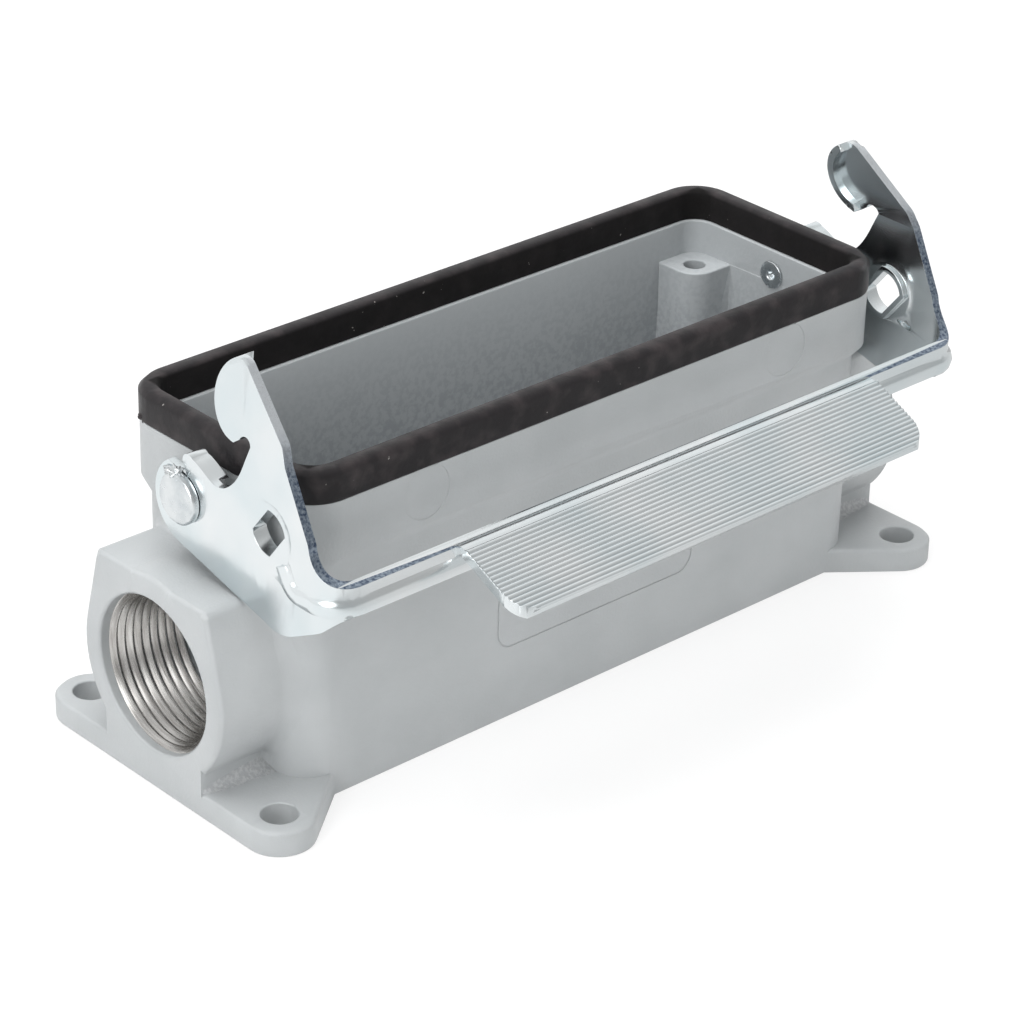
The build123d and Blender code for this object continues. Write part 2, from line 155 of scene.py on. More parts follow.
def calculate(tree, operation, first, second=None):
    """One Math node; each input is a socket or a number."""
    made = tree.nodes.new("ShaderNodeMath")
    made.operation = operation
    for slot, value in zip(made.inputs, (first, second)):
        if isinstance(value, (int, float)):
            slot.default_value = value
        elif value is not None:
            tree.links.new(value, slot)
    return made.outputs[0]


def blend_colors(tree, factor, first, second):
    """A colour between two, by a socket; each is a colour or a socket."""
    made = tree.nodes.new("ShaderNodeMix")
    made.data_type = "RGBA"
    tree.links.new(factor, made.inputs["Factor"])
    for slot, value in ((made.inputs[6], first), (made.inputs[7], second)):
        if isinstance(value, tuple):
            slot.default_value = (*value, 1)
        else:
            tree.links.new(value, slot)
    return made.outputs[2]


# %% Nodes for places and relief


def split(tree, vector):
    """The X, Y and Z of a vector."""
    made = tree.nodes.new("ShaderNodeSeparateXYZ")
    tree.links.new(vector, made.inputs["Vector"])
    return made.outputs


def stretch(tree, place, factors):
    """The same coordinates, scaled along each axis, so a pattern grows long."""
    made = tree.nodes.new("ShaderNodeMapping")
    made.inputs["Scale"].default_value = factors
    tree.links.new(place, made.inputs["Vector"])
    return made.outputs["Vector"]


def inside_of(tree, place, half, soft):
    """1 inside an upright box of half lengths in X and Y, 0 outside, soft at its walls."""
    product = None
    for socket, reach in zip(split(tree, place), half):
        off_middle = calculate(tree, "ABSOLUTE", socket)
        within = fit_range(tree, off_middle, (reach - soft) * MM, reach * MM, 1, 0)
        product = within if product is None else calculate(tree, "MULTIPLY", product, within)
    return product


def add_bump(tree, shader, heights, distance_mm):
    """Small relief on the surface, from a height of 0 to 1."""
    made = tree.nodes.new("ShaderNodeBump")
    made.inputs["Distance"].default_value = distance_mm * MM
    tree.links.new(heights, made.inputs["Height"])
    tree.links.new(made.outputs["Normal"], shader.inputs["Normal"])


# %% [markdown]
# ## Powder coated casting
# The casting is light grey with a fine satin grain. Inside the cavity the coat is thin and blue grey.
# Speckles of painted shade darken it towards the floor, where the cavity falls in shadow. A mask made
# from the place of each point tells inside from outside. It is an upright box with its four corners cut
# off, because the outside of the body is round there and would reach into the box.

# %% Casting
coat_grey = (0.348, 0.364, 0.371)
coat_pale = (0.381, 0.397, 0.404)
inner_grey = (0.37, 0.39, 0.40)
# Painted shade: the darkest colour, deep in the cavity.
inner_shade = (0.20, 0.215, 0.235)
cavity_half = (57.0, 18.5)
cavity_soft = 0.3
cavity_slant = 73.8
cavity_low, cavity_high = 3.3, 50.6

casting, tree, shader, place = new_material("coated_casting", coat_grey, 0.42)
axes = split(tree, place)
above = fit_range(tree, axes[2], (cavity_low - cavity_soft) * MM, cavity_low * MM, 0, 1)
walls = calculate(tree, "MULTIPLY", inside_of(tree, place, cavity_half, cavity_soft), above)
along, across = (calculate(tree, "ABSOLUTE", axis) for axis in (axes[0], axes[1]))
slant = calculate(tree, "ADD", along, across)
off_corners = fit_range(tree, slant, (cavity_slant - 0.4) * MM, cavity_slant * MM, 1, 0)
inside = calculate(tree, "MULTIPLY", walls, off_corners)

blotch = noise(tree, place, size_mm=14)
outer = blend_colors(tree, fit_range(tree, blotch, 0.35, 0.65, 0, 1), coat_grey, coat_pale)
# Painted shade: speckles that darken the cavity walls towards its floor.
depth = fit_range(tree, axes[2], cavity_low * MM, cavity_high * MM, 1, 0)
speckle = fit_range(tree, noise(tree, place, size_mm=0.9, detail=2), 0.42, 0.6, 0, 1)
painted_cavity_shade = calculate(tree, "MULTIPLY", depth, speckle)
inner = blend_colors(tree, painted_cavity_shade, inner_grey, inner_shade)
color = blend_colors(tree, inside, outer, inner)
tree.links.new(color, shader.inputs["Base Color"])
grain = noise(tree, place, size_mm=0.55, detail=2)
add_bump(tree, shader, grain, distance_mm=0.05)
print("casting:", len(tree.nodes), "nodes")

# %% [markdown]
# ## Rubber
# The seal is satin rubber with pale dust and a few bright specks. Its inner side has no dust and
# carries painted shade, so it is almost black.

# %% Rubber
rubber_dark = (0.011, 0.0095, 0.0105)
rubber_dust = (0.034, 0.028, 0.029)
# Painted shade for the inner side of the seal, which lies in shadow.
rubber_inner_shade = (0.0035, 0.003, 0.003)
rubber_speck = (0.22, 0.21, 0.20)
mouth_half = (57.2, 18.7)
rubber, tree, shader, place = new_material("seal_rubber", rubber_dark, 0.46)
shader.inputs["Specular IOR Level"].default_value = 0.3
dust = fit_range(tree, noise(tree, place, size_mm=3.5, detail=5), 0.46, 0.72, 0, 0.9)
dusty = blend_colors(tree, dust, rubber_dark, rubber_dust)
within = inside_of(tree, place, mouth_half, soft=0.5)
# Inside the mouth, the painted shade takes the place of the dusty colour.
color = blend_colors(tree, within, dusty, rubber_inner_shade)
speck = fit_range(tree, noise(tree, place, size_mm=0.75, detail=1), 0.785, 0.825, 0, 1)
tree.links.new(blend_colors(tree, speck, color, rubber_speck), shader.inputs["Base Color"])
gloss = fit_range(tree, noise(tree, place, size_mm=5), 0.3, 0.7, 0.36, 0.56)
duller_inside = calculate(tree, "MULTIPLY", within, 0.3)
tree.links.new(calculate(tree, "ADD", gloss, duller_inside), shader.inputs["Roughness"])
add_bump(tree, shader, noise(tree, place, size_mm=0.7), distance_mm=0.035)
print("rubber:", len(tree.nodes), "nodes")

# %% [markdown]
# ## Zinc, sheared edges and bare metal
# The lever is pressed steel with a blue white zinc coat, so it is a fairly clear
# mirror. Its sheared edges are darker and rough, but worn bright towards the tips
# of the hooks. The thread is cut into bare aluminium, and the tool leaves fine
# lines round it: that noise is squeezed along the axis and drawn long across it.

# %% Metals


def plated(
    name, bright, tint, roughness, blotch_mm, relief_mm, grain_mm=0.8, along=(1, 1, 1),
):
    """Metal with a tint that comes and goes, a soft change of gloss and a fine grain."""
    material, tree, shader, place = new_material(name, bright, roughness, metallic=1.0)
    place = stretch(tree, place, along)
    patch = fit_range(tree, noise(tree, place, blotch_mm), 0.36, 0.66, 0, 1)
    tree.links.new(blend_colors(tree, patch, bright, tint), shader.inputs["Base Color"])
    fine = noise(tree, place, blotch_mm / 3, detail=4)
    gloss = fit_range(tree, fine, 0.3, 0.7, roughness - 0.04, roughness + 0.05)
    tree.links.new(gloss, shader.inputs["Roughness"])
    add_bump(tree, shader, noise(tree, place, grain_mm, 2), relief_mm)
    return material


zinc = plated(
    "zinc_plate", (0.80, 0.83, 0.84), (0.70, 0.765, 0.785), 0.19,
    blotch_mm=16, relief_mm=0.006, grain_mm=1.6,
)
pin_zinc = plated(
    "pin_zinc", (0.74, 0.77, 0.78), (0.60, 0.64, 0.66), 0.24, blotch_mm=3, relief_mm=0.010,
)
turning_lines = (4.0, 0.16, 0.16)
bare = plated(
    "bare_aluminium", (0.66, 0.65, 0.63), (0.40, 0.385, 0.37), 0.26,
    blotch_mm=1.2, relief_mm=0.010, along=turning_lines,
)
sheared = plated(
    "sheared_edge", (0.34, 0.40, 0.47), (0.08, 0.11, 0.17), 0.30,
    blotch_mm=0.45, relief_mm=0.02, grain_mm=0.5,
)

# %% Worn tips of the sheared edge
worn_from, worn_to = 58.5, 64.5
worn_color = (0.72, 0.75, 0.77)
tree = sheared.node_tree
shader = tree.nodes["Principled BSDF"]
old_color = shader.inputs["Base Color"].links[0].from_socket
height = split(tree, tree.nodes["Texture Coordinate"].outputs["Object"])[2]
worn = fit_range(tree, height, worn_from * MM, worn_to * MM, 0, 0.85)
tree.links.new(blend_colors(tree, worn, old_color, worn_color), shader.inputs["Base Color"])

# %% Rough corners of the casting
crumb_dark = (0.335, 0.345, 0.355)
crumb_pale = (0.425, 0.435, 0.44)
rough_casting, tree, shader, place = new_material("rough_casting", coat_pale, 0.5)
crumb = fit_range(tree, noise(tree, place, size_mm=0.55, detail=3), 0.42, 0.62, 0, 1)
tree.links.new(blend_colors(tree, crumb, crumb_dark, crumb_pale), shader.inputs["Base Color"])
add_bump(tree, shader, crumb, distance_mm=0.05)
print("materials:", [m.name for m in bpy.data.materials])

# %% [markdown]
# ## Softer edges
# No real edge is perfectly sharp, and a thin round catches the light. A loaded
# solid may not be changed, so each gets a copy, whose loose triangles are merged at
# their corners. An edge that turns by more than 50 degrees is rounded, and a flatter
# one only shades smoothly.
#
# A round needs room. Beside a narrow face its border would pass the far side and
# fold the mesh. So the width is tried at five places along each edge, and the
# widest one for which both of its faces have room is used.

# %% Room beside an edge
sharp_angle = math.radians(50)
room_shares = (1.0, 0.7, 0.5, 0.35, 0.22, 0.12)
tried_places = (0.0, 0.25, 0.5, 0.75, 1.0)
off_surface = 0.000004


def edge_room(edge, skin, width_mm):
    """The share of the wanted width for which both faces beside an edge have room."""
    first, second = (vert.co for vert in edge.verts)
    along = (second - first).normalized()
    best = 1.0
    for face in edge.link_faces:
        inward = face.normal.cross(along)
        if inward.dot(face.calc_center_median() - first) < 0:
            inward.negate()
        for t in tried_places:
            start = first.lerp(second, t)
            fitting = 0.0
            for share in room_shares:
                reach = 2.1 * share * width_mm * MM
                gaps = [skin.find_nearest(start + inward * reach * part)[3] for part in (0.5, 1.0)]
                if max(gaps) < off_surface + 0.03 * reach:
                    fitting = share
                    break
            best = min(best, fitting)
    return best


# %% [markdown]
# ## Flat areas laid afresh
# Rounding moves the corners of a flat area, and a thin triangle there can turn
# over. So each flat area with such a triangle is emptied and filled again from
# its outline. This cell finds the area, by walking from face to face as long as
# the next one lies in the same plane.

# %% One flat area
flat_error = 0.0000008


def flat_region(seed, taken):
    """The faces round a seed that lie in its plane, turned over or not."""
    normal = seed.normal.copy()
    level = seed.calc_center_median().dot(normal)
    region, queue = [], [seed]
    taken.add(seed)
    while queue:
        face = queue.pop()
        region.append(face)
        for other in [other for edge in face.edges for other in edge.link_faces]:
            if other in taken:
                continue
            if other.calc_area() > 1e-12 and abs(other.normal.dot(normal)) < 0.9999:
                continue
            if all(abs(vert.co.dot(normal) - level) < flat_error for vert in other.verts):
                taken.add(other)
                queue.append(other)
    return region, normal


# %% [markdown]
# An outline that crosses itself can't be filled well. A trial in a mesh of its own
# shows that beforehand: the filling has to close, and its area has to be right.

# %% Trial filling


def fill_works(rim, normal, area):
    """Fills a copy of an outline, and tells whether it closes and has the right area."""
    trial = bmesh.new()
    corners = dict.fromkeys(vert for edge in rim for vert in edge.verts)
    twin = {vert: trial.verts.new(vert.co) for vert in corners}
    for edge in rim:
        trial.edges.new([twin[vert] for vert in edge.verts])
    bmesh.ops.triangle_fill(trial, use_beauty=True, edges=trial.edges, normal=normal)
    closed = all(edge.link_faces for edge in trial.edges)
    closed = closed and sum(edge.is_boundary for edge in trial.edges) == len(rim)
    found = sum(face.calc_area() for face in trial.faces)
    trial.free()
    return closed and 0.98 * area < found < 1.15 * area


# %% [markdown]
# Where the trial fails, the triangles stay and only swap their shared edges: two
# triangles make a four sided patch, and its other diagonal may leave neither of
# them turned over. An area counts as negative when its triangle is turned over.

# %% Other diagonals


def signed_area(p, q, r, normal):
    """The area of a triangle, negative where it turns its back to the normal."""
    return (q.co - p.co).cross(r.co - p.co).dot(normal) / 2


def turn_edges(mesh, region, normal):
    """Swaps the shared edge of two triangles where that leaves fewer turned over."""
    inside = set(region)
    edges = (edge for face in region for edge in face.edges)
    inner = dict.fromkeys(edge for edge in edges if all(face in inside for face in edge.link_faces))
    fans = bmesh.ops.triangulate(mesh, faces=[face for face in region if len(face.verts) > 3])
    inner.update(dict.fromkeys(fans["edges"]))
    swapped = 0
    for _ in range(12):
        changed = 0
        for edge in list(inner):
            if not edge.is_valid or len(edge.link_faces) != 2:
                inner.pop(edge)
                continue
            first, second = edge.link_faces
            loop = next(loop for loop in first.loops if loop.edge == edge)
            a, b = loop.vert, loop.link_loop_next.vert
            c = loop.link_loop_prev.vert
            other = next(loop for loop in second.loops if loop.edge == edge)
            d = other.link_loop_prev.vert
            if len(first.verts) != 3 or len(second.verts) != 3 or c == d:
                continue
            now = min(signed_area(a, b, c, normal), signed_area(b, a, d, normal))
            after = min(signed_area(c, a, d, normal), signed_area(d, b, c, normal))
            taken = any(d in e.verts for e in c.link_edges)
            if now < -1e-13 and after > now + 1e-13 and not taken:
                inner.pop(edge)
                inner[bmesh.utils.edge_rotate(edge)] = None
                changed += 1
        swapped += changed
        if not changed:
            break
    return swapped


# %% Mending all flat areas
least_face = 1e-9
least_area = 0.000001


def refill_flats(mesh):
    """Lays every flat area with a turned over triangle afresh."""
    taken, jobs = set(), []
    for seed in sorted(mesh.faces, key=lambda face: -face.calc_area()):
        if seed in taken or seed.calc_area() < least_face:
            continue
        region, normal = flat_region(seed, taken)
        areas = [face.calc_area() * (1 if face.normal.dot(normal) > 0 else -1) for face in region]
        if min(areas) < -1e-12:
            jobs.append((region, normal, sum(areas)))
    done = swapped = 0
    for region, normal, area in jobs:
        inside = set(region)
        edges = dict.fromkeys(edge for face in region for edge in face.edges)
        rim = [edge for edge in edges if sum(face in inside for face in edge.link_faces) == 1]
        if area < least_area or not fill_works(rim, normal, area):
            swapped += turn_edges(mesh, region, normal)
            continue
        material = region[0].material_index
        bmesh.ops.delete(mesh, geom=region, context="FACES")
        for face in bmesh.ops.triangle_fill(mesh, use_beauty=True, edges=rim, normal=normal)["geom"]:
            if isinstance(face, bmesh.types.BMFace):
                face.smooth = True
                face.material_index = material
                face.normal_update()
                if face.normal.dot(normal) < 0:
                    face.normal_flip()
        done += 1
    print("flat areas laid afresh:", done, "of", len(jobs), "and edges swapped:", swapped)


# %% [markdown]
# ## Rounding
# A Bevel modifier rounds each edge by its weight. Where two edges run on nearly
# straight with different widths, the borders of their rounds would meet far away,
# so both take the narrower width. The result of the modifier is read back as a
# mesh, because its flat areas still have to be mended.

# %% Widths and rounds
straight_on = math.radians(166)


def even_widths(mesh, weight):
    """Gives edges that run on nearly straight the narrower width of the two."""
    changed = True
    while changed:
        changed = False
        for vert in mesh.verts:
            soft = [edge for edge in vert.link_edges if edge[weight] > 0]
            for first, second in combinations(soft, 2):
                one = first.other_vert(vert).co - vert.co
                two = second.other_vert(vert).co - vert.co
                if abs(first[weight] - second[weight]) > 1e-6 and one.angle(two) > straight_on:
                    first[weight] = second[weight] = min(first[weight], second[weight])
                    changed = True


def bevelled(mesh, width_mm, segments):
    """The mesh with its weighted edges rounded and its flat areas mended."""
    helper = new_piece("helper", mesh)
    bevel = helper.modifiers.new("soft edges", "BEVEL")
    bevel.width = width_mm * MM
    bevel.segments = segments
    bevel.limit_method = "WEIGHT"
    bevel.use_clamp_overlap = False
    bevel.material = 0
    graph = bpy.context.evaluated_depsgraph_get()
    rounded = bmesh.new()
    rounded.from_mesh(helper.evaluated_get(graph).to_mesh())
    bpy.data.objects.remove(helper)
    refill_flats(rounded)
    return rounded


# %% [markdown]
# ## One copy
# A copy is merged, mended where its solid needs it, and rounded. A Weighted Normal
# modifier then lets the large flat faces decide the shading, so a plate stays
# flat right up to its bend. The copy rides on its solid's body and stands for it.

# %% Copies


def weigh_edges(mesh, width_mm, widest, wide, hollows):
    """Gives each sharp edge its share of the widest round; one without a round shades hard."""
    skin = BVHTree.FromBMesh(mesh)
    weight = mesh.edges.layers.float.new("bevel_weight_edge")
    for edge in mesh.edges:
        if not edge.is_manifold or edge.calc_face_angle() < sharp_angle:
            continue
        if hollows or edge.calc_face_angle_signed() > 0:
            own = widest if wide and wide(edge) else width_mm
            edge[weight] = edge_room(edge, skin, own) * own / widest
        edge.smooth = edge[weight] > 0
    even_widths(mesh, weight)


def soft_copy(
    node, body, materials, width_mm,
    segments=2, pick=None, mend=None, wide=None, wide_mm=None, hollows=True,
):
    """A merged, rounded copy that stands for one solid.

    pick gives a face's material, mend changes the mesh first, and the edges that
    wide names are rounded by wide_mm. Without hollows only outer edges are rounded."""
    mesh = bmesh.new()
    mesh.from_mesh(nodes[node].data)
    bmesh.ops.remove_doubles(mesh, verts=mesh.verts, dist=0.000002)
    if mend:
        mend(mesh)
    for face in mesh.faces:
        face.smooth = True
        face.material_index = pick(face) if pick else 0
    mesh.normal_update()
    widest = wide_mm or width_mm
    weigh_edges(mesh, width_mm, widest, wide, hollows)
    mesh = bevelled(mesh, widest, segments)
    open_edges = sum(not edge.is_manifold for edge in mesh.edges)
    piece = new_piece(node + "_soft", mesh, *materials)
    weigh = piece.modifiers.new("flat areas", "WEIGHTED_NORMAL")
    weigh.weight = 90
    weigh.keep_sharp = True
    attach(piece, body)
    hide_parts(node)
    print(piece.name, "faces", len(piece.data.polygons), "open edges", open_edges)


# %% [markdown]
# ## Sheared edge of the lever
# The lever was cut from a sheet, and the cut shows as a dark band along its front.
# The line below follows that band in side view, in Y and Z in mm: from the hook
# down to the knee, round the shoulder and along the strip.

# %% Faces of the sheared edge
cut_line = [Vector(point) for point in (
    (-11.6, 71.6), (-22.0, 62.7), (-28.2, 49.9), (-29.1, 47.6),
    (-30.2, 46.0), (-31.8, 44.9), (-33.7, 44.3),
)]
strip_from = cut_line[5].x
cut_near = 0.45
grip_end = 42.7


def lever_face(face):
    """1 on the sheared front edge of the sheet, 0 on its broad faces and its rolled rims."""
    middle = face.calc_center_median() / MM
    side = Vector((middle.y, middle.z))
    sheet_way = max(abs(face.normal.x), 0 if side.x > strip_from else abs(face.normal.y))
    if sheet_way > 0.5 or abs(middle.x) < grip_end:
        return 0
    for start, end in zip(cut_line, cut_line[1:]):
        run = end - start
        t = min(max((side - start).dot(run) / run.length_squared, 0), 1)
        if (start + run * t - side).length < cut_near:
            return 1
    return 0


def on_cut_line(edge):
    """Whether an edge borders on the sheared edge."""
    return any(lever_face(face) for face in edge.link_faces)


# %% [markdown]
# ## Rolled lips
# The rims of the hooks and of the short tongues are turned inwards, and a turned
# sheet has a soft round. Two boxes in side view say where those rims are.

# %% Lips of the lever
lip_zones = (((-16.0, 56.5), (-5.5, 72.0)), ((-11.0, 50.0), (0.5, 54.2)))
lip_inner_round, lip_outer_round = 0.9, 0.6
least_turn = math.radians(60)


def in_lip_zone(point):
    """Whether a point, in mm, lies in one of the two boxes."""
    return any(low[0] < point.y < high[0] and low[1] < point.z < high[1] for low, high in lip_zones)


def outer_face_x(z):
    """How far out the outer face of an end plate stands: it leans in above the notch."""
    return 65.05 - max(z - 60.2, 0) * 0.2126


def round_lips(mesh):
    """Rolls the turned rims of the hooks and of the tongues over softly, inside and outside."""
    for widths, sign in ((lip_inner_round, -1), (lip_outer_round, 1)):
        chosen = []
        for edge in mesh.edges:
            middle = (edge.verts[0].co + edge.verts[1].co) / 2 / MM
            if not in_lip_zone(middle) or not edge.is_manifold:
                continue
            if edge.calc_face_angle_signed() * sign < least_turn:
                continue
            across = [abs(face.normal.x) for face in edge.link_faces]
            outer = abs(middle.x) > outer_face_x(middle.z) - 0.2
            if max(across) > 0.9 and (sign < 0 or outer) and not on_cut_line(edge):
                chosen.append(edge)
        bmesh.ops.bevel(
            mesh, geom=chosen, offset=widths * MM, offset_type="OFFSET", segments=3, profile=0.5,
            affect="EDGES", clamp_overlap=True, material=-1,
        )
        print("lip edges rounded:", len(chosen))


# %% [markdown]
# ## Tips and bends
# The sheared edge is worn, so its rims get a wide round, but not close to the
# hook's tip and not down the front of the plate and round its tight bend, where
# wide rounds would run into each other. The solid has a small step in that
# bend: its points are raised to the arc of the shoulder. Then the corner at the
# tip of each hook is rounded.

# %% Worn edge, bend and tip
tip_y, bend_from_z, bend_to_z = -13.5, 62.6, 45.0
tip_corner, tip_round = Vector((-11.6, 71.6)), 0.9


def worn_round(edge):
    """The rims of the sheared edge, away from the hook's tip and from the bend."""
    if sum(face.material_index for face in edge.link_faces) != 1:
        return False
    ends = [vert.co / MM for vert in edge.verts]
    return all(p.y < tip_y + 0.01 and not bend_to_z < p.z < bend_from_z for p in ends)


shoulder_hub, shoulder_round = (-34.67, 50.76), 6.53
step_height, step_front, step_back = 46.3, -29.95, -28.65


def mend_lever(mesh):
    """Carries the edge smoothly round the bend, splits it near the tip, and rounds the lips."""
    raised = 0
    for vert in mesh.verts:
        x, y, z = vert.co / MM
        if abs(x) > 63 and step_front < y < step_back and abs(z - step_height) < 0.01:
            rise = math.sqrt(shoulder_round ** 2 - (y - shoulder_hub[0]) ** 2)
            vert.co.z = max(shoulder_hub[1] - rise, step_height) * MM
            raised += 1
    bmesh.ops.remove_doubles(mesh, verts=mesh.verts, dist=0.00002)
    bmesh.ops.dissolve_degenerate(mesh, edges=mesh.edges, dist=0.00001)
    everything = mesh.verts[:] + mesh.edges[:] + mesh.faces[:]
    bmesh.ops.bisect_plane(
        mesh, geom=everything, dist=0.000001, plane_co=(0, tip_y * MM, 0), plane_no=(0, 1, 0),
    )
    bmesh.ops.triangulate(mesh, faces=[face for face in mesh.faces if len(face.verts) > 3])
    print("points of the bend raised:", raised)
    corners = []
    for edge in mesh.edges:
        sides = [Vector((vert.co.y, vert.co.z)) / MM - tip_corner for vert in edge.verts]
        if all(side.length < 0.5 for side in sides) and edge.calc_length() > 1.0 * MM:
            corners.append(edge)
    bmesh.ops.bevel(
        mesh, geom=corners, offset=tip_round * MM, offset_type="OFFSET", segments=4, profile=0.5,
        affect="EDGES", clamp_overlap=False, material=-1,
    )
    print("tip corners rounded:", len(corners))
    round_lips(mesh)


# %% [markdown]
# ## Walls of the cavity
# The solid has a fine ledge round its cavity, level with the tops of the pillars.
# Its points are moved so that the slope of the wall runs straight on past it.

# %% Cavity
pillar_top = 44.7
mouth_ring = (56.4, 17.9)
mouth_corner = 3.2
wall_draft = math.tan(math.radians(1.1)) * 5.7


def straighten_cavity(mesh):
    """Carries the slope of the cavity walls on past the tops of the pillars, up to the seal."""
    moved = 0
    for vert in mesh.verts:
        if abs(vert.co.z / MM - pillar_top) > 0.02:
            continue
        over = [max(abs(vert.co[i]) / MM - (mouth_ring[i] - mouth_corner), 0) for i in (0, 1)]
        reach = math.hypot(*over)
        if abs(reach - mouth_corner) < 0.02:
            for i in (0, 1):
                vert.co[i] -= math.copysign(over[i] / reach * wall_draft * MM, vert.co[i])
            moved += 1
    bmesh.ops.remove_doubles(mesh, verts=mesh.verts, dist=0.00002)
    bmesh.ops.dissolve_degenerate(mesh, edges=mesh.edges, dist=0.00002)
    print("ledge points moved:", moved)


# %% [markdown]
# ## The five copies
# Each call below names a solid, the body it belongs to, its materials and the width of its rounds in
# mm. The solids themselves stay hidden behind their copies, and they get a material as well.

# %% Five copies
soft_copy(
    "housing_body", "housing", [casting], 0.28,
    mend=straighten_cavity, hollows=False,
)
soft_copy("rim_seal", "housing", [rubber], 0.42, segments=3)
for pin in ("entry_pivot_pin", "far_pivot_pin"):
    soft_copy(pin, "housing", [pin_zinc], 0.12)
soft_copy(
    "locking_lever", "lever", [zinc, sheared], 0.10,
    pick=lever_face, mend=mend_lever, wide=worn_round, wide_mm=0.36,
)

for name, material in (
    ("housing_body", casting), ("rim_seal", rubber), ("entry_pivot_pin", pin_zinc),
    ("far_pivot_pin", pin_zinc), ("locking_lever", zinc),
):
    nodes[name].data.materials.clear()
    nodes[name].data.materials.append(material)

# %% [markdown]
# ## Root fillets of the casting
# Where two walls of a casting meet, the mould leaves a soft hollow corner. Each
# one here is a narrow strip that leaves one wall and lands on the other. Its
# section is a curve pulled towards the sharp corner, and a flat grid gives it
# even faces: every column of the grid is laid at one station along the corner.

# %% Strips in the corners
body_end, body_side, body_round = 59.2, 19.2, 6.0
foot_top = 4.1
entry_height = 19.0
boss_radius, boss_top, boss_half_top, boss_half_web = 16.5, 34.9, 13.0, 11.4
sink = 0.03

mesh = bmesh.new()
mesh.from_mesh(bpy.data.objects["housing_body_soft"].data)
skin = BVHTree.FromBMesh(mesh)
mesh.free()


def settle(point):
    """The nearest place on the casting, a hair under it, so a border hides in the wall."""
    spot, normal = skin.find_nearest(Vector(point) * MM)[:2]
    return spot / MM - normal * sink


def corner_strip(name, stations, material, rows=12, wall_mm=0.2):
    """A hollow strip; a station is its start, the point that pulls it, and its end, in mm."""
    mesh = bmesh.new()
    columns = len(stations)
    laid = [(settle(start), Vector(corner), settle(end)) for start, corner, end in stations]
    bmesh.ops.create_grid(mesh, x_segments=columns - 1, y_segments=rows, size=0.5)
    for vert in mesh.verts:
        start, corner, end = laid[round((vert.co.x + 0.5) * (columns - 1))]
        t = vert.co.y + 0.5
        vert.co = ((1 - t) ** 2 * start + 2 * t * (1 - t) * corner + t * t * end) * MM
    start, corner, end = laid[columns // 2]
    outwards = (start + end) / 2 - corner
    for face in mesh.faces:
        face.smooth = True
    for edge in mesh.edges:
        edge.smooth = not edge.is_boundary
    mesh.normal_update()
    sample = min(mesh.faces, key=lambda face: (face.calc_center_median() / MM - corner).length)
    if sample.normal.dot(outwards) < 0:
        bmesh.ops.reverse_faces(mesh, faces=mesh.faces)
    piece = new_piece(name, mesh, material)
    wall = piece.modifiers.new("wall", "SOLIDIFY")
    wall.thickness = wall_mm * MM
    wall.offset = -1
    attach(piece, "housing")


# %% [markdown]
# A boss meets the end wall of the body along its whole outline: up from the foot,
# round the barrel, along the flank, round a small shoulder and over the flat top.
# The outline is laid as points in Y and Z with their outward angle, and one half
# is mirrored to the other side.

# %% Outline of a boss
barrel_steps, flank_steps, shoulder_steps, top_steps = 96, 32, 12, 16
shoulder_gap, shoulder_bend = 1.4, 1.5
strip_hollow = 1.7


def end_wall(y):
    """Where the end wall of the body stands at one y: flat, and round at its corner."""
    past = max(abs(y) - (body_side - body_round), 0)
    return body_end - body_round + math.sqrt(body_round ** 2 - past ** 2)


def wall_slope(y):
    """How steeply the end wall falls back at one y."""
    past = abs(y) - (body_side - body_round)
    return 0 if past <= 0 else -math.copysign(past / math.sqrt(body_round ** 2 - past ** 2), y)


def boss_path():
    """Half the outline of a boss with its outward angle, from the foot up to mid top."""
    path = [(boss_half_web, z, 0.0) for z in (3.9, 4.3, 4.7, 5.1)]
    web_angle = -math.acos(boss_half_web / boss_radius)
    rise = boss_top - entry_height
    reach = math.hypot(boss_half_top, rise)
    lean = math.atan2(rise, boss_half_top) - math.acos(boss_radius / reach)
    for step in range(barrel_steps + 1):
        angle = web_angle + (lean - web_angle) * step / barrel_steps
        z = entry_height + boss_radius * math.sin(angle)
        path.append((boss_radius * math.cos(angle), z, angle))
    low = Vector(path[-1][:2])
    high = Vector((boss_half_top, boss_top))
    run = high - low
    for step in range(1, flank_steps + 1):
        point = low + run * step / flank_steps * (1 - shoulder_gap / run.length)
        path.append((point.x, point.y, lean))
    outward = Vector((math.cos(lean), math.sin(lean)))
    hub = low + run * (1 - shoulder_gap / run.length) - outward * shoulder_bend
    for step in range(1, shoulder_steps + 1):
        angle = lean + (math.pi / 2 - lean) * step / shoulder_steps
        z = min(hub.y + shoulder_bend * math.sin(angle), boss_top)
        path.append((hub.x + shoulder_bend * math.cos(angle), z, angle))
    top_from = path[-1][0]
    for step in range(1, top_steps + 1):
        path.append((top_from * (1 - step / top_steps), boss_top, math.pi / 2))
    return path


def boss_stations(side, hollow=strip_hollow):
    """The stations of the strip round one boss, on both of its halves."""
    stations = []
    half = boss_path()
    both = [(y, z, math.cos(a), math.sin(a)) for y, z, a in half]
    both += [(-y, z, -math.cos(a), math.sin(a)) for y, z, a in reversed(half[:-1])]
    for y, z, out_y, out_z in both:
        far_y = y + out_y * hollow
        land = end_wall(far_y)
        corner = land - hollow * out_y * wall_slope(far_y)
        start = (side * (corner + hollow), y, z)
        pull = (side * corner, y, z)
        stations.append((start, pull, (side * land, far_y, z + out_z * hollow)))
    return stations


# %% [markdown]
# The web under each boss stands on the foot, and its corner widens from a point
# beside the end face towards the body. Each pair below is an X and a width in mm.

# %% Foot of the webs, and all six strips
web_run = (
    (71.3, 0.15), (71.1, 0.7), (70.4, 1.1), (69, 1.5),
    (67, 1.9), (64, 2.3), (61, 2.6), (59, 2.7),
)


